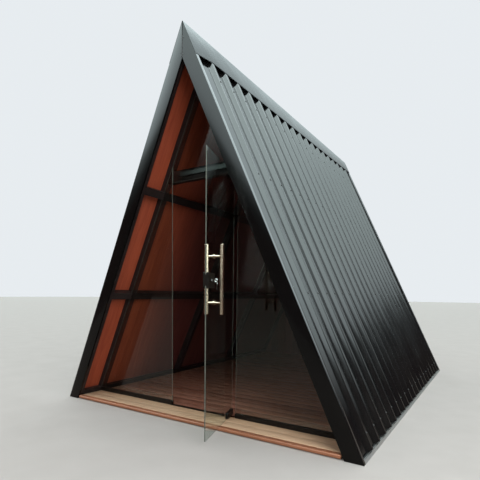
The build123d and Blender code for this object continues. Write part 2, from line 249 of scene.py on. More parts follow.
floor_tree.links.new(
    floor_mix.outputs[0], floor_tree.nodes["Material Output"].inputs["Surface"]
)
floor.data.materials.append(floor_finish)


# Timber frames: five pairs of sawn rafters that meet at the ridge, with purlins and foot
# plates between them and a header across the glazed pair. Softwood under a near-black stain.
ridge_height = 3.3
slope_sin = 0.42738
slope_cos = 0.90407


def new_group(name, inputs, outputs):
    """A node group with its sockets, and its input and output nodes."""
    group = bpy.data.node_groups.new(name, "ShaderNodeTree")
    for socket, kind in inputs:
        group.interface.new_socket(name=socket, in_out="INPUT", socket_type=kind)
    for socket, kind in outputs:
        group.interface.new_socket(name=socket, in_out="OUTPUT", socket_type=kind)
    return group, group.nodes.new("NodeGroupInput"), group.nodes.new("NodeGroupOutput")


slope_group, taken, given = new_group(
    "slope_position",
    [("Vector", "NodeSocketVector")],
    [("Vector", "NodeSocketVector"), ("Down", "NodeSocketFloat")],
)
parts_of = add_node(slope_group, "ShaderNodeSeparateXYZ", {"Vector": taken.outputs["Vector"]})
outward = calculate(slope_group, "ABSOLUTE", parts_of.outputs["X"])
drop = calculate(slope_group, "SUBTRACT", ridge_height, parts_of.outputs["Z"])
down = calculate(
    slope_group,
    "ADD",
    calculate(slope_group, "MULTIPLY", outward, slope_sin),
    calculate(slope_group, "MULTIPLY", drop, slope_cos),
)
depth = calculate(
    slope_group,
    "SUBTRACT",
    calculate(slope_group, "MULTIPLY", drop, slope_sin),
    calculate(slope_group, "MULTIPLY", outward, slope_cos),
)
on_slope = add_node(
    slope_group, "ShaderNodeCombineXYZ", {"X": down, "Y": parts_of.outputs["Y"], "Z": depth}
)
slope_group.links.new(on_slope.outputs[0], given.inputs["Vector"])
slope_group.links.new(down, given.inputs["Down"])

grain_group, taken, given = new_group(
    "wood_grain",
    [("Vector", "NodeSocketVector")],
    [("Grain", "NodeSocketFloat"), ("Pores", "NodeSocketFloat")],
)
along = add_node(
    grain_group,
    "ShaderNodeMapping",
    {"Vector": taken.outputs["Vector"], "Scale": (0.5, 7.0, 7.0)},
)
figure = add_node(
    grain_group,
    "ShaderNodeTexNoise",
    {
        "Vector": along.outputs[0],
        "Scale": 5.0,
        "Detail": 4.0,
        "Roughness": 0.6,
        "Distortion": 0.9,
    },
)
fine = add_node(
    grain_group,
    "ShaderNodeMapping",
    {"Vector": taken.outputs["Vector"], "Scale": (6.0, 260.0, 260.0)},
)
pores = add_node(
    grain_group, "ShaderNodeTexNoise", {"Vector": fine.outputs[0], "Scale": 1.0, "Detail": 3.0}
)
mixed = calculate(
    grain_group,
    "ADD",
    calculate(grain_group, "MULTIPLY", figure.outputs["Fac"], 0.7),
    calculate(grain_group, "MULTIPLY", pores.outputs["Fac"], 0.3),
)
grain_group.links.new(mixed, given.inputs["Grain"])
grain_group.links.new(pores.outputs["Fac"], given.inputs["Pores"])


def use_group(tree, group, values):
    """One node group placed in a material."""
    return add_node(tree, "ShaderNodeGroup", values, node_tree=group)


def add_bump(tree, shader, height, strength, distance):
    """Relief on the shader's normal."""
    sockets = {"Height": height, "Strength": strength, "Distance": distance}
    bump = add_node(tree, "ShaderNodeBump", sockets)
    tree.links.new(bump.outputs[0], shader.inputs["Normal"])


tone_contrast = 0.34
pore_depth = 0.001


def wood_finish(name, dark, light, roughness, vector_of, relief, gloss=0.5):
    """Stained or varnished wood: colour between two tones along the grain, with open pores."""
    material, tree, shader = new_material(name, light, roughness, gloss=gloss)
    vector, tone = vector_of(tree)
    grain = use_group(tree, grain_group, {"Vector": vector})
    streaks = grain.outputs["Grain"]
    if tone is not None:
        shade = calculate(tree, "MULTIPLY_ADD", tone, tone_contrast, -tone_contrast / 2)
        streaks = calculate(tree, "ADD", streaks, shade)
    color = add_ramp(tree, streaks, [(0.32, dark), (0.68, light)])
    tree.links.new(color, shader.inputs["Base Color"])
    rough = add_node(
        tree,
        "ShaderNodeMapRange",
        {"Value": grain.outputs["Pores"], "To Min": roughness - 0.06, "To Max": roughness + 0.1},
    )
    tree.links.new(rough.outputs[0], shader.inputs["Roughness"])
    add_bump(tree, shader, grain.outputs["Pores"], relief, pore_depth)
    return material


def object_position(tree):
    """The place on the object, in metres."""
    return add_node(tree, "ShaderNodeTexCoord").outputs["Object"]


def grain_down_slope(tree):
    """Grain that runs from the ridge to the ground."""
    vector = use_group(tree, slope_group, {"Vector": object_position(tree)}).outputs["Vector"]
    return vector, None


def grain_along_cabin(tree):
    """Grain that runs from front to back."""
    turned = add_node(
        tree,
        "ShaderNodeMapping",
        {"Vector": object_position(tree), "Rotation": (0, 0, math.radians(90))},
    )
    return turned.outputs[0], None


def grain_across(tree):
    """Grain that runs from side to side."""
    return object_position(tree), None


def paint_node(name, material):
    """Put a finish on a CAD node."""
    materials = nodes[name].data.materials
    materials.clear()
    materials.append(material)


stain_dark = (0.0085, 0.0056, 0.0056)
stain_light = (0.0220, 0.0138, 0.0130)
rafter_stain = wood_finish(
    "rafter_stain",
    stain_dark,
    stain_light,
    roughness=0.5,
    vector_of=grain_down_slope,
    relief=0.25,
    gloss=0.35,
)
purlin_stain = wood_finish(
    "purlin_stain",
    stain_dark,
    stain_light,
    roughness=0.5,
    vector_of=grain_along_cabin,
    relief=0.25,
    gloss=0.35,
)
header_stain = wood_finish(
    "header_stain",
    stain_dark,
    stain_light,
    roughness=0.45,
    vector_of=grain_across,
    relief=0.25,
    gloss=0.45,
)
for side in ("left", "right"):
    for name in ("front_rafter", "glazed_rafter", "middle_rafters", "rear_rafter"):
        paint_node(f"{name}_{side}", rafter_stain)
    for name in ("upper_purlins", "lower_purlins", "foot_plates"):
        paint_node(f"{name}_{side}", purlin_stain)
paint_node("header", header_stain)


# Lining: thin reddish brown stained sheets on the rafters' outer faces, under a satin
# varnish. Further into the room its colour is darkened and turned towards maroon, as painted
# shade where less light reaches. The smooth inner face shows; the outer one lies under black
# roofing felt.
lining_finish = wood_finish(
    "lining_finish",
    (0.260, 0.048, 0.024),
    (0.420, 0.090, 0.042),
    roughness=0.42,
    vector_of=grain_down_slope,
    relief=0.08,
    gloss=0.4,
)
lining_tree = lining_finish.node_tree
lining_shader = lining_tree.nodes["Principled BSDF"]
lining_place = add_node(
    lining_tree, "ShaderNodeSeparateXYZ", {"Vector": object_position(lining_tree)}
)
# Painted shade: from the porch into the room the stain is multiplied down towards maroon.
porch_color = (1.0, 1.0, 1.0)
room_shade_tint = (0.32, 0.42, 0.75)
way_in = add_node(
    lining_tree,
    "ShaderNodeMapRange",
    {"Value": lining_place.outputs["Y"], "From Min": -1.75, "From Max": -0.75},
    interpolation_type="SMOOTHSTEP",
)
painted_room_shade = add_ramp(
    lining_tree, way_in.outputs[0], [(0.0, porch_color), (1.0, room_shade_tint)]
)
stained = add_node(
    lining_tree,
    "ShaderNodeVectorMath",
    {0: lining_shader.inputs["Base Color"].links[0].from_socket, 1: painted_room_shade},
    operation="MULTIPLY",
)
lining_tree.links.new(stained.outputs[0], lining_shader.inputs["Base Color"])


def make_active(piece):
    """Select one piece alone and make it the active one."""
    bpy.ops.object.select_all(action="DESELECT")
    piece.select_set(True)
    bpy.context.view_layer.objects.active = piece


mark_depth = 0.0004
mark_sheen = 0.08


def grained_finish(name, color, roughness, grain_scale, relief, metallic=0.0, gloss=0.5):
    """A finish with a fine grain: felt fibres, the orange peel of a coat, or brush marks."""
    material, tree, shader = new_material(name, color, roughness, metallic, gloss)
    stretched = add_node(
        tree, "ShaderNodeMapping", {"Vector": object_position(tree), "Scale": grain_scale}
    )
    marks = add_node(
        tree, "ShaderNodeTexNoise", {"Vector": stretched.outputs[0], "Scale": 1.0, "Detail": 4.0}
    )
    rough = add_node(
        tree,
        "ShaderNodeMapRange",
        {
            "Value": marks.outputs["Fac"],
            "To Min": roughness - mark_sheen,
            "To Max": roughness + mark_sheen,
        },
    )
    tree.links.new(rough.outputs[0], shader.inputs["Roughness"])
    add_bump(tree, shader, marks.outputs["Fac"], relief, mark_depth)
    return material


def copy_of_node(node_name, piece_name):
    """A copy of a CAD node's mesh with its corners merged and its flat faces whole."""
    piece = bpy.data.objects.new(piece_name, nodes[node_name].data.copy())
    bpy.context.scene.collection.objects.link(piece)
    make_active(piece)
    bpy.ops.mesh.customdata_custom_splitnormals_clear()
    bpy.ops.object.mode_set(mode="EDIT")
    bpy.ops.mesh.select_all(action="SELECT")
    bpy.ops.mesh.remove_doubles(threshold=0.00001)
    bpy.ops.mesh.dissolve_limited(angle_limit=math.radians(1))
    bpy.ops.object.mode_set(mode="OBJECT")
    return piece


def finish_piece(piece, material, node_name, body="cabin"):
    """Paint a piece and let it stand in for its CAD node."""
    piece.data.materials.clear()
    piece.data.materials.append(material)
    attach(piece, body)
    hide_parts(node_name)


squarely = 0.9
sides = {"left": -1, "right": 1}
outward_of = {side: Vector((sign * slope_cos, 0, slope_sin)) for side, sign in sides.items()}
down_of = {side: Vector((sign * slope_sin, 0, -slope_cos)) for side, sign in sides.items()}
felt = grained_finish(
    "roofing_felt", (0.006, 0.006, 0.006), roughness=0.85, grain_scale=(300, 300, 300), relief=0.4
)
for side in sides:
    lining = copy_of_node(f"lining_{side}", f"lining_boards_{side}")
    finish_piece(lining, lining_finish, f"lining_{side}")
    lining.data.materials.append(felt)
    for face in lining.data.polygons:
        on_top = face.normal.dot(outward_of[side]) > squarely
        # The sheets' cut ends take the black felt as well, as painted shade where they show.
        felt_or_shaded_end = on_top or abs(face.normal.y) > squarely
        face.material_index = 1 if felt_or_shaded_end else 0


# Roof sheets: cold-rolled steel with trapezoidal ribs, charcoal paint baked on at the mill.
# Every fold has a small radius, which catches the light as a line along the rib.
weather_group, taken, given = new_group(
    "weathering",
    [("Vector", "NodeSocketVector"), ("Down", "NodeSocketFloat")],
    [("Dust", "NodeSocketFloat"), ("Waves", "NodeSocketFloat"), ("Sheen", "NodeSocketFloat")],
)
runs = add_node(
    weather_group,
    "ShaderNodeMapping",
    {"Vector": taken.outputs["Vector"], "Scale": (1.1, 26.0, 4.0)},
)
streak = add_node(
    weather_group,
    "ShaderNodeTexNoise",
    {"Vector": runs.outputs[0], "Scale": 1.0, "Detail": 5.0, "Roughness": 0.65},
)
cloud = add_node(
    weather_group,
    "ShaderNodeTexNoise",
    {"Vector": taken.outputs["Vector"], "Scale": 2.2, "Detail": 3.0},
)
near_ground = add_node(
    weather_group,
    "ShaderNodeMapRange",
    {"Value": taken.outputs["Down"], "From Min": 2.9, "From Max": 3.65, "To Max": 0.55},
)
streak_mask = add_node(
    weather_group,
    "ShaderNodeMapRange",
    {"Value": streak.outputs["Fac"], "From Min": 0.48, "From Max": 0.78},
)
cloud_mask = add_node(
    weather_group,
    "ShaderNodeMapRange",
    {"Value": cloud.outputs["Fac"], "From Min": 0.35, "From Max": 0.75},
)
dust = calculate(
    weather_group,
    "ADD",
    calculate(weather_group, "MULTIPLY", streak_mask.outputs[0], 0.45),
    calculate(weather_group, "MULTIPLY", near_ground.outputs[0], cloud_mask.outputs[0]),
)
dust_clamped = add_node(weather_group, "ShaderNodeClamp", {"Value": dust})
weather_group.links.new(dust_clamped.outputs[0], given.inputs["Dust"])
dents = add_node(
    weather_group,
    "ShaderNodeMapping",
    {"Vector": taken.outputs["Vector"], "Scale": (0.6, 4.0, 4.0)},
)
buckle = add_node(
    weather_group, "ShaderNodeTexNoise", {"Vector": dents.outputs[0], "Scale": 1.4, "Detail": 0.5}
)
weather_group.links.new(buckle.outputs["Fac"], given.inputs["Waves"])
weather_group.links.new(cloud.outputs["Fac"], given.inputs["Sheen"])


wave_depth = 0.02


def painted_steel(name, color, dust_color, roughness, gloss, waves, unevenness="Waves"):
    """Mill paint on thin steel: faint dust in runs down the slope, slight waves in the sheet."""
    material, tree, shader = new_material(name, color, roughness, gloss=gloss)
    place = use_group(tree, slope_group, {"Vector": object_position(tree)})
    weather = use_group(
        tree,
        weather_group,
        {"Vector": place.outputs["Vector"], "Down": place.outputs["Down"]},
    )
    dusty = add_ramp(tree, weather.outputs["Dust"], [(0.0, color), (1.0, dust_color)])
    tree.links.new(dusty, shader.inputs["Base Color"])
    rough = add_node(
        tree,
        "ShaderNodeMapRange",
        {
            "Value": weather.outputs["Sheen"],
            "From Min": 0.3,
            "From Max": 0.7,
            "To Min": roughness - 0.04,
            "To Max": roughness + 0.06,
        },
    )
    tree.links.new(rough.outputs[0], shader.inputs["Roughness"])
    add_bump(tree, shader, weather.outputs[unevenness], waves, wave_depth)
    return material



def pick(piece, vertices=None, edges=None, faces=None):
    """Go into edit mode with the vertices, edges or faces selected that pass a test."""
    mesh = piece.data
    for element in (*mesh.vertices, *mesh.edges, *mesh.polygons):
        element.select = False
    if vertices:
        for vertex in mesh.vertices:
            vertex.select = vertices(vertex.co)
    if edges:
        for edge in mesh.edges:
            one, other = (mesh.vertices[number].co for number in edge.vertices)
            edge.select = edges(one, other)
    if faces:
        for face in mesh.polygons:
            face.select = faces(face)
    make_active(piece)
    bpy.context.tool_settings.mesh_select_mode = (bool(vertices), bool(edges), bool(faces))
    bpy.ops.object.mode_set(mode="EDIT")


sidelong = 0.3


def keep_outside(piece, outward):
    """Leave only the faces of a thin sheet that look outwards."""
    pick(piece, faces=lambda face: max(face.normal.dot(way) for way in outward) < sidelong)
    bpy.ops.mesh.delete(type="FACE")
    bpy.ops.object.mode_set(mode="OBJECT")


def bend_folds(piece, radius, segments, edges):
    """Turn the sharp folds that pass a test into small bends."""
    pick(piece, edges=edges)
    bpy.ops.mesh.bevel(offset=radius, segments=segments, affect="EDGES", clamp_overlap=False)
    bpy.ops.object.mode_set(mode="OBJECT")


smoothing_angle = math.radians(35)


def thicken(piece, thickness):
    """Give a surface its thickness on the inner side and smooth its bends."""
    make_active(piece)
    solid = piece.modifiers.new("thickness", "SOLIDIFY")
    solid.thickness = thickness
    solid.offset = -1
    bpy.ops.object.modifier_apply(modifier="thickness")
    bpy.ops.object.shade_smooth_by_angle(angle=smoothing_angle)


cabin_front = -2.035
first_rib_setback = 0.264
first_rib = cabin_front + first_rib_setback
rib_pitch = 0.2
ribs_per_sheet = 5
flashing_thickness = 0.001
joints = [first_rib + rib_pitch * (ribs_per_sheet * n - 1) for n in (1, 2, 3)]
sheet_ends = [cabin_front + flashing_thickness, *joints, -cabin_front - flashing_thickness]
crest_depth = 0.002
crest_level = ridge_height * slope_sin - crest_depth
crest_radius = 0.005
foot_radius = 0.003
sheet_thickness = 0.0008
parallel = 0.99
end_margin = 0.003
same_level = 0.0003


def is_fold(one, other, side, at_crest):
    """Whether an edge of the sheets is a fold at a rib's crest, or else at its foot."""
    down_slope = abs((one - other).normalized().dot(down_of[side])) > parallel
    inside_sheet = min(abs(one.y - end) for end in sheet_ends) > end_margin
    on_crest = abs(one.dot(outward_of[side]) - crest_level) < same_level
    return down_slope and inside_sheet and on_crest == at_crest


charcoal = (0.0060, 0.0062, 0.0066)
dusty_charcoal = (0.0140, 0.0135, 0.0120)
roof_paint = painted_steel(
    "roof_paint", charcoal, dusty_charcoal, roughness=0.10, gloss=0.62, waves=0.22
)
for side in sides:
    sheets = copy_of_node(f"roof_sheets_{side}", f"ribbed_sheets_{side}")
    keep_outside(sheets, [outward_of[side]])
    for at_crest, radius in ((True, crest_radius), (False, foot_radius)):
        bend_folds(
            sheets,
            radius,
            segments=4,
            edges=lambda one, other: is_fold(one, other, side, at_crest),
        )
    thicken(sheets, sheet_thickness)
    finish_piece(sheets, roof_paint, f"roof_sheets_{side}")


# Ridge cap: a strip of the same steel folded along the ridge and riveted to the ribs. It was
# trimmed by hand: it gets narrower towards the back, and its front corners hang lower.
cap_front_leg = 0.275
cap_thickness = 0.001
cap_radius = 0.007
corner_drop = 0.055
corner_reach = 0.03
same_place = 0.0001
cap_paint = painted_steel(
    "cap_paint",
    charcoal,
    dusty_charcoal,
    roughness=0.12,
    gloss=0.10,
    waves=0.25,
    unevenness="Sheen",
)
cap = copy_of_node("ridge_cap", "folded_ridge_cap")
keep_outside(cap, outward_of.values())
bend_folds(
    cap,
    cap_radius,
    segments=4,
    edges=lambda one, other: max(abs(one.x), abs(other.x)) < same_place,
)
pick(cap, faces=lambda face: True)
bpy.ops.mesh.bisect(plane_co=(0, first_rib, 0), plane_no=(0, 1, 0))
bpy.ops.object.mode_set(mode="OBJECT")
for side in sides:
    front_corner = Vector((0, cabin_front, ridge_height)) + down_of[side] * cap_front_leg
    pick(cap, vertices=lambda place: (place - front_corner).length < corner_reach)
    bpy.ops.transform.translate(value=down_of[side] * corner_drop)
    bpy.ops.object.mode_set(mode="OBJECT")
thicken(cap, cap_thickness)
finish_piece(cap, cap_paint, "ridge_cap")


# Roof fixings: self-drilling hexagon screws with rubber washers through the crests into the
# timbers, and low rivets that hold the ridge cap to every other rib.
rib_count = 19
rib_places = [first_rib + rib_pitch * n for n in range(rib_count)]


def on_slope_at(side, down, y, depth=0.0):
    """A place on a slope, by its way down from the ridge, along the cabin and its depth."""
    return Vector((0, y, ridge_height)) + down_of[side] * down - outward_of[side] * depth


def set_square(piece, place, outward):
    """Turn a piece upright on a surface, at its place, and keep it there."""
    piece.matrix_world = (
        Matrix.Translation(place) @ outward.to_track_quat("Z", "Y").to_matrix().to_4x4()
    )
    make_active(piece)
    bpy.ops.object.transform_apply(location=True, rotation=True, scale=True)


def scatter(piece, steps):
    """Copies of a piece, each moved by its step, joined into one object."""
    copies = [piece]
    for step in steps:
        copy = piece.copy()
        copy.data = piece.data.copy()
        copy.data.transform(Matrix.Translation(step))
        bpy.context.scene.collection.objects.link(copy)
        copies.append(copy)
    make_active(piece)
    for copy in copies:
        copy.select_set(True)
    bpy.ops.object.join()
    return piece


screw_lines = (0.46, 1.355, 2.405, 3.50)
washer_radius = 0.008
washer_thickness = 0.0016
screw_head_radius = 0.0046
screw_head_height = 0.0046
screw_chamfer = 0.0007
zinc = grained_finish(
    "painted_screw", (0.085, 0.090, 0.090), roughness=0.35, grain_scale=(900, 900, 900), relief=0.2
)
rubber = grained_finish(
    "washer_rubber", (0.030, 0.030, 0.030), roughness=0.7, grain_scale=(600, 600, 600), relief=0.3
)
for side in sides:
    places = [on_slope_at(side, down, y, crest_depth) for down in screw_lines for y in rib_places]
    bpy.ops.object.select_all(action="DESELECT")
    bpy.ops.mesh.primitive_cylinder_add(
        vertices=12, radius=washer_radius, depth=washer_thickness
    )
    washer = bpy.context.object
    washer.data.transform(Matrix.Translation((0, 0, washer_thickness / 2)))
    washer.data.materials.append(rubber)
    bpy.ops.mesh.primitive_cylinder_add(
        vertices=6, radius=screw_head_radius, depth=screw_head_height
    )
    head = bpy.context.object
    head.name = f"roof_screws_{side}"
    head_middle = washer_thickness + screw_head_height / 2
    head.data.transform(Matrix.Translation((0, 0, head_middle)))
    head.data.materials.append(zinc)
    make_active(head)
    chamfer = head.modifiers.new("chamfer", "BEVEL")
    chamfer.width = screw_chamfer
    chamfer.segments = 1
    bpy.ops.object.modifier_apply(modifier="chamfer")
    washer.select_set(True)
    bpy.ops.object.join()
    set_square(head, places[0], outward_of[side])
    screws = scatter(head, [place - places[0] for place in places[1:]])
    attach(screws, "cabin")

rivet_radius = 0.0045
rivet_flatness = 0.45


def add_rivets(name, material, places, outward):
    """Low round rivet heads on a sheet."""
    bpy.ops.object.select_all(action="DESELECT")
    bpy.ops.mesh.primitive_uv_sphere_add(segments=12, ring_count=6, radius=rivet_radius)
    rivet = bpy.context.object
    rivet.name = name
    rivet.data.transform(Matrix.Diagonal((1, 1, rivet_flatness, 1)))
    rivet.data.materials.append(material)
    bpy.ops.object.shade_smooth()
    set_square(rivet, places[0], outward)
    return scatter(rivet, [place - places[0] for place in places[1:]])


cabin_length = 4.07
cap_rear_leg = 0.205
rivet_setback = 0.022
for side in sides:
    places = []
    for y in rib_places[::2]:
        leg = cap_front_leg + (cap_rear_leg - cap_front_leg) * (y - cabin_front) / cabin_length
        places.append(on_slope_at(side, leg - rivet_setback, y))
    rivets = add_rivets(f"cap_rivets_{side}", zinc, places, outward_of[side])
    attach(rivets, "cabin")


# Verge flashings: folded strips over the sheets' edges at both gables, mitred at the ridge.
# The same mill paint, drawn as lit and shaded versions of it: the faces get a darker, less
# glossy paint as painted shade, the top legs a glossier coated one as painted highlight.
# The bend along the roof's edge is soft and picks up the sky.
verge_face_shade_paint = painted_steel(
    "verge_face_shade_paint",
    (0.0030, 0.0030, 0.0031),
    (0.0090, 0.0082, 0.0072),
    roughness=0.1,
    gloss=0.32,
    waves=0.08,
)
leg_highlight_paint = painted_steel(
    "leg_highlight_paint", charcoal, dusty_charcoal, roughness=0.12, gloss=0.9, waves=0.15
)
leg_shader = leg_highlight_paint.node_tree.nodes["Principled BSDF"]
leg_shader.inputs["Coat Weight"].default_value = 0.6
leg_shader.inputs["Coat Roughness"].default_value = 0.08
light_trim_paint = painted_steel(
    "light_trim_paint",
    (0.20, 0.21, 0.21),
    (0.26, 0.24, 0.21),
    roughness=0.45,
    gloss=0.5,
    waves=0.1,
)
mitre_gap = 0.007
verge_radius = 0.0025
top_level = ridge_height * slope_sin - flashing_thickness
level_margin = 0.0004
gable_zone = 1.9


def is_outer_bend(one, other, side):
    """Whether an edge of a flashing is the long bend at the gable, on top."""
    heights = [place.dot(outward_of[side]) for place in (one, other)]
    on_top = max(abs(height - top_level) for height in heights) < level_margin
    return on_top and abs(one.y - other.y) < same_place and abs(one.y) > gable_zone


for side in sides:
    for end in ("front", "rear"):
        verge = copy_of_node(f"{end}_verge_flashing_{side}", f"folded_{end}_verge_{side}")
        bend_folds(
            verge,
            verge_radius,
            segments=3,
            edges=lambda one, other: is_outer_bend(one, other, side),
        )
        pick(verge, faces=lambda face: True)
        bpy.ops.mesh.bisect(
            plane_co=(sides[side] * mitre_gap / 2, 0, 0),
            plane_no=(sides[side], 0, 0),
            use_fill=True,
            clear_inner=True,
        )
        bpy.ops.object.mode_set(mode="OBJECT")
        bpy.ops.object.shade_smooth_by_angle(angle=smoothing_angle)
        finish_piece(verge, verge_face_shade_paint, f"{end}_verge_flashing_{side}")
        verge.data.materials.append(leg_highlight_paint)
        for face in verge.data.polygons:
            # Painted highlight: the top legs, and the rear verges' inner faces, take the glossier
            # coated paint.
            inward = face.normal.y < -squarely and end == "rear"
            on_top = face.normal.dot(outward_of[side]) > squarely
            face.material_index = 1 if inward or on_top else 0
    paint_node(f"eaves_flashing_{side}", light_trim_paint)

rivet_places = [(-0.012, 3.050), (0.014, 3.036), (-0.012, 3.022), (0.014, 3.160)]
blackened = grained_finish(
    "blackened_rivet",
    (0.010, 0.010, 0.010),
    roughness=0.5,
    grain_scale=(900, 900, 900),
    relief=0.2,
)
places = [Vector((x, cabin_front, z)) for x, z in rivet_places]
rivets = add_rivets("verge_rivets", blackened, places, Vector((0, -1, 0)))
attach(rivets, "cabin")


# Floor: a thin base on the ground, near black as painted shade in the gap under the nosing,
# wide boards across the porch and the room, and a thicker rounded board along the front
# edge. Oiled outside and varnished inside.
grain_spread = 9.0


def rows_of_boards(axis, start, pitch, turn):
    """Grain for boards side by side, each with its own tone and its own stretch of grain."""

    def vector_of(tree):
        place = add_node(tree, "ShaderNodeSeparateXYZ", {"Vector": object_position(tree)})
        distance = calculate(tree, "SUBTRACT", place.outputs[axis], start)
        row = calculate(tree, "FLOOR", calculate(tree, "DIVIDE", distance, pitch))
        chance = add_node(
            tree, "ShaderNodeTexWhiteNoise", {"W": row}, noise_dimensions="1D"
        ).outputs["Value"]
        shift = add_node(
            tree, "ShaderNodeCombineXYZ", {"X": calculate(tree, "MULTIPLY", chance, grain_spread)}
        )
        turned = add_node(
            tree, "ShaderNodeMapping", {"Vector": object_position(tree), "Rotation": turn}
        )
        vectors = {0: turned.outputs[0], 1: shift.outputs[0]}
        moved = add_node(tree, "ShaderNodeVectorMath", vectors, operation="ADD")
        return moved.outputs[0], chance

    return vector_of


def add_board(name, low, high, rounding):
    """One board between two corners, with its arrises taken off."""
    bpy.ops.object.select_all(action="DESELECT")
    bpy.ops.mesh.primitive_cube_add(size=1, location=(low + high) / 2, scale=high - low)
    board = bpy.context.object
    board.name = name
    bpy.ops.object.transform_apply(location=True, rotation=True, scale=True)
    arris = board.modifiers.new("arris", "BEVEL")
    arris.width = rounding
    arris.segments = 2
    bpy.ops.object.modifier_apply(modifier="arris")
    bpy.ops.object.shade_smooth_by_angle(angle=smoothing_angle)
    return board


def lay_boards(node_name, piece_name, count, joint, rounding):
    """Boards across a CAD node's box, from front to back."""
    low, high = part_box(node_name)
    pitch = (high.y - low.y + joint) / count
    first = add_board(
        piece_name, low, Vector((high.x, low.y + pitch - joint, high.z)), rounding
    )
    return scatter(first, [Vector((0, pitch * n, 0)) for n in range(1, count)]), low.y, pitch


porch, porch_start, porch_pitch = lay_boards(
    "porch_boards", "porch_planks", count=2, joint=0.0012, rounding=0.0010
)
porch_finish = wood_finish(
    "porch_finish",
    (0.60, 0.400, 0.250),
    (0.78, 0.550, 0.365),
    roughness=0.45,
    vector_of=rows_of_boards("Y", porch_start, porch_pitch, (0, 0, 0)),
    relief=0.15,
)
finish_piece(porch, porch_finish, "porch_boards")

room, room_start, room_pitch = lay_boards(
    "floor_boards", "room_planks", count=30, joint=0.0008, rounding=0.0008
)
room_floor_finish = wood_finish(
    "room_floor_finish",
    (0.290, 0.118, 0.080),
    (0.460, 0.215, 0.150),
    roughness=0.26,
    vector_of=rows_of_boards("Y", room_start, room_pitch, (0, 0, 0)),
    relief=0.1,
)
finish_piece(room, room_floor_finish, "floor_boards")

nosing_finish = wood_finish(
    "nosing_finish",
    (0.24, 0.090, 0.045),
    (0.40, 0.165, 0.085),
    roughness=0.4,
    vector_of=grain_across,
    relief=0.12,
)
# Painted shade: the base is near black, for the shadow in the gap under the nosing.
base_shade_finish = wood_finish(
    "base_shade_finish",
    (0.010, 0.007, 0.006),
    (0.028, 0.020, 0.016),
    roughness=0.7,
    vector_of=grain_across,
    relief=0.3,
)
paint_node("floor_nosing", nosing_finish)
paint_node("floor_base", base_shade_finish)


# Rear wall: upright softwood boards between the rear rafters, cut to the slopes. They are
# painted far darker than the lining, as painted shade at the back of the room. They stand
# edge to edge, with small chamfers along their edges.
wall_low, wall_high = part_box("rear_wall")
wall_boards = 20
wall_pitch = (wall_high.x - wall_low.x) / wall_boards
wall_chamfer = 0.0015
boards = []
for number in range(wall_boards):
    board = copy_of_node("rear_wall", "wall_boards" if number == 0 else f"wall_board_{number}")
    from_x = wall_low.x + wall_pitch * number
    for cut_x, beyond in ((from_x, False), (from_x + wall_pitch, True)):
        pick(board, faces=lambda face: True)
        bpy.ops.mesh.bisect(
            plane_co=(cut_x, 0, 0),
            plane_no=(1, 0, 0),
            use_fill=True,
            clear_inner=not beyond,
            clear_outer=beyond,
        )
        bpy.ops.object.mode_set(mode="OBJECT")
    boards.append(board)
make_active(boards[0])
for board in boards:
    board.select_set(True)
bpy.ops.object.join()
wall = boards[0]
wall_arris = wall.modifiers.new("arris", "BEVEL")
wall_arris.width = wall_chamfer
wall_arris.segments = 1
wall_arris.angle_limit = math.radians(60)
bpy.ops.object.modifier_apply(modifier="arris")
# Painted shade: the wall's colour is far darker than the lining, for the back of the room.
wall_shade_finish = wood_finish(
    "wall_shade_finish",
    (0.035, 0.012, 0.008),
    (0.085, 0.028, 0.017),
    roughness=0.45,
    vector_of=rows_of_boards("X", wall_low.x, wall_pitch, (0, math.radians(90), 0)),
    relief=0.2,
)
finish_piece(wall, wall_shade_finish, "rear_wall")


# Glass front: clear toughened panes, 8 mm thick with polished edges, a faint green in them.
# The fixed ones stand in slots of their floor rail; the leaf is held by its two patches.
glass_finish, glass_tree, glass_shader = new_material("clear_glass", (0.86, 0.93, 0.90), 0.01)
glass_shader.inputs["Transmission Weight"].default_value = 1.0
glass_shader.inputs["IOR"].default_value = 1.45
smears = add_node(
    glass_tree,
    "ShaderNodeTexNoise",
    {"Vector": object_position(glass_tree), "Scale": 6.0, "Detail": 4.0},
)
smear_range = add_node(
    glass_tree,
    "ShaderNodeMapRange",
    {"Value": smears.outputs["Fac"], "From Min": 0.4, "From Max": 0.8, "To Max": 0.05},
)
glass_tree.links.new(smear_range.outputs[0], glass_shader.inputs["Roughness"])
light_through = add_node(glass_tree, "ShaderNodeBsdfTransparent", {"Color": (0.84, 0.88, 0.86, 1)})
path = add_node(glass_tree, "ShaderNodeLightPath")
passes = calculate(
    glass_tree, "MAXIMUM", path.outputs["Is Shadow Ray"], path.outputs["Is Diffuse Ray"]
)
glass_mix = mix_shaders(glass_tree, passes, glass_shader, light_through)
glass_tree.links.new(
    glass_mix.outputs[0], glass_tree.nodes["Material Output"].inputs["Surface"]
)

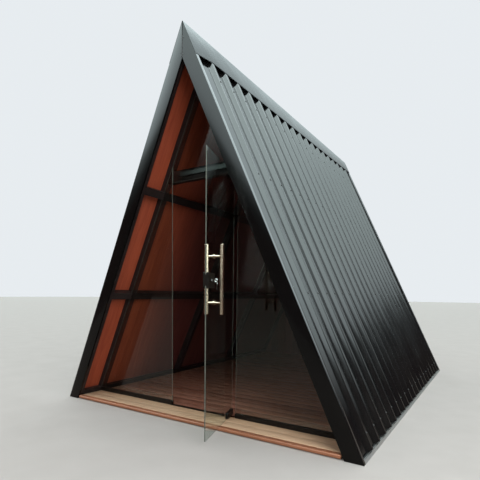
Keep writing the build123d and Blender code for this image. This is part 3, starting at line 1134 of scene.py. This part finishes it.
edge_finish, edge_tree, edge_shader = new_material("polished_edge", (0.105, 0.120, 0.100), 0.25)
edge_marks = add_node(
    edge_tree,
    "ShaderNodeTexNoise",
    {"Vector": object_position(edge_tree), "Scale": 40.0, "Detail": 2.0},
)
edge_tree.links.new(
    add_ramp(
        edge_tree,
        edge_marks.outputs["Fac"],
        [(0.3, (0.080, 0.095, 0.078)), (0.7, (0.130, 0.145, 0.125))],
    ),
    edge_shader.inputs["Base Color"],
)
edge_chamfer = 0.0012
faces_on = 0.98
inwards = Vector((0, 1, 0))
leaf_outward = Vector((0.9511, 0.3090, 0))
panes = {
    "left_pane": ("left_glass", "cabin", inwards),
    "right_pane": ("right_glass", "cabin", inwards),
    "transom_pane": ("transom_glass", "cabin", inwards),
    "door_glass": ("leaf_glass", "door", leaf_outward),
}
for node_name, (piece_name, body, across) in panes.items():
    pane = copy_of_node(node_name, piece_name)
    chamfer = pane.modifiers.new("chamfer", "BEVEL")
    chamfer.width = edge_chamfer
    chamfer.segments = 1
    chamfer.limit_method = "ANGLE"
    chamfer.angle_limit = math.radians(60)
    bpy.ops.object.modifier_apply(modifier="chamfer")
    bpy.ops.object.shade_smooth_by_angle(angle=smoothing_angle)
    finish_piece(pane, glass_finish, node_name, body)
    pane.data.materials.append(edge_finish)
    for face in pane.data.polygons:
        on_face = abs(face.normal.dot(across)) > faces_on
        face.material_index = 0 if on_face else 1


# Metal fittings: black powder-coated rails, patches and lock, brushed stainless pulls and
# pivots, and a satin aluminium clamp over the transom. The stainless gets a warm brown
# colour, a painted reflection of warm wooden surroundings.
black_coat = grained_finish(
    "black_coat",
    (0.007, 0.005, 0.004),
    roughness=0.38,
    grain_scale=(900, 900, 900),
    relief=0.2,
    gloss=0.15,
)
# Painted reflection: the stainless is tinted warm brown, for the wood it would mirror.
steel_with_warm_reflection = grained_finish(
    "steel_with_warm_reflection",
    (0.74, 0.59, 0.45),
    roughness=0.22,
    grain_scale=(2500, 2500, 40),
    relief=0.1,
    metallic=1.0,
)
satin_aluminium = grained_finish(
    "satin_aluminium",
    (0.065, 0.075, 0.07),
    roughness=0.45,
    grain_scale=(40, 2500, 2500),
    relief=0.1,
    metallic=1.0,
)
for name in ("pane_rails", "threshold", "bottom_patch", "top_patch", "door_lock"):
    paint_node(name, black_coat)
for name in ("floor_pivot", "top_pivot", "inner_pull", "outer_pull"):
    paint_node(name, steel_with_warm_reflection)
paint_node("transom_clamp", satin_aluminium)


# Keys and patch screws: a steel key in the lock's outer cylinder, with its ring and a second
# key, and low black screw heads that clamp the patches to the leaf from both faces.
leaf_along = Vector((0.3090, -0.9511, 0))
pivot_place = Vector((0.307, -1.744, 0))


def on_leaf(along, outward, height):
    """A place on the open leaf: from the pivot to the free edge, out of its face, and up."""
    return pivot_place + leaf_along * along + leaf_outward * outward + Vector((0, 0, height))


def small_part(add_shape, name, place, facing, material, **sizes):
    """A little part, set square on a face."""
    bpy.ops.object.select_all(action="DESELECT")
    add_shape(**sizes)
    part = bpy.context.object
    part.name = name
    part.data.materials.append(material)
    set_square(part, place, facing)
    return part


def join_parts(parts):
    """Make one object of several parts."""
    make_active(parts[0])
    for part in parts:
        part.select_set(True)
    bpy.ops.object.join()
    bpy.ops.object.shade_smooth_by_angle(angle=smoothing_angle)
    return parts[0]


lock_height = 1.205
cylinder_along = 0.604
cylinder_out = 0.0275
blade_out = 0.038
bow_out = 0.0575
ring_out = 0.0640
ring_drop = 0.0140
second_key_drop = 0.0450
key_steel = grained_finish(
    "key_steel",
    (0.70, 0.70, 0.68),
    roughness=0.2,
    grain_scale=(900, 900, 900),
    relief=0.1,
    metallic=1.0,
)
key_parts = [
    small_part(
        bpy.ops.mesh.primitive_cylinder_add,
        "door_key",
        on_leaf(cylinder_along, cylinder_out, lock_height),
        leaf_outward,
        key_steel,
        vertices=24,
        radius=0.0085,
        depth=0.003,
    ),
    small_part(
        bpy.ops.mesh.primitive_cube_add,
        "key_blade",
        on_leaf(cylinder_along, blade_out, lock_height),
        leaf_outward,
        key_steel,
        size=1,
        scale=(0.0022, 0.0080, 0.0200),
    ),
    small_part(
        bpy.ops.mesh.primitive_torus_add,
        "key_bow",
        on_leaf(cylinder_along, bow_out, lock_height),
        leaf_along,
        key_steel,
        major_radius=0.0098,
        minor_radius=0.0026,
        major_segments=24,
        minor_segments=8,
    ),
    small_part(
        bpy.ops.mesh.primitive_torus_add,
        "key_ring",
        on_leaf(cylinder_along, ring_out, lock_height - ring_drop),
        leaf_outward,
        key_steel,
        major_radius=0.0120,
        minor_radius=0.0011,
        major_segments=24,
        minor_segments=6,
    ),
    small_part(
        bpy.ops.mesh.primitive_cube_add,
        "second_key",
        on_leaf(cylinder_along, ring_out, lock_height - second_key_drop),
        leaf_outward,
        key_steel,
        size=1,
        scale=(0.0080, 0.0400, 0.0022),
    ),
]
key = join_parts(key_parts)
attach(key, "door")

patch_face = 0.015
patch_heights = (0.0725, 2.0985)
screws_along = (0.010, 0.088)
patch_screws = []
for height in patch_heights:
    for along in screws_along:
        for out in (patch_face, -patch_face):
            facing = leaf_outward if out > 0 else -leaf_outward
            patch_screws.append(
                small_part(
                    bpy.ops.mesh.primitive_cylinder_add,
                    "patch_screws",
                    on_leaf(along, out, height),
                    facing,
                    black_coat,
                    vertices=20,
                    radius=0.0065,
                    depth=0.003,
                )
            )
screws = join_parts(patch_screws)
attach(screws, "door")
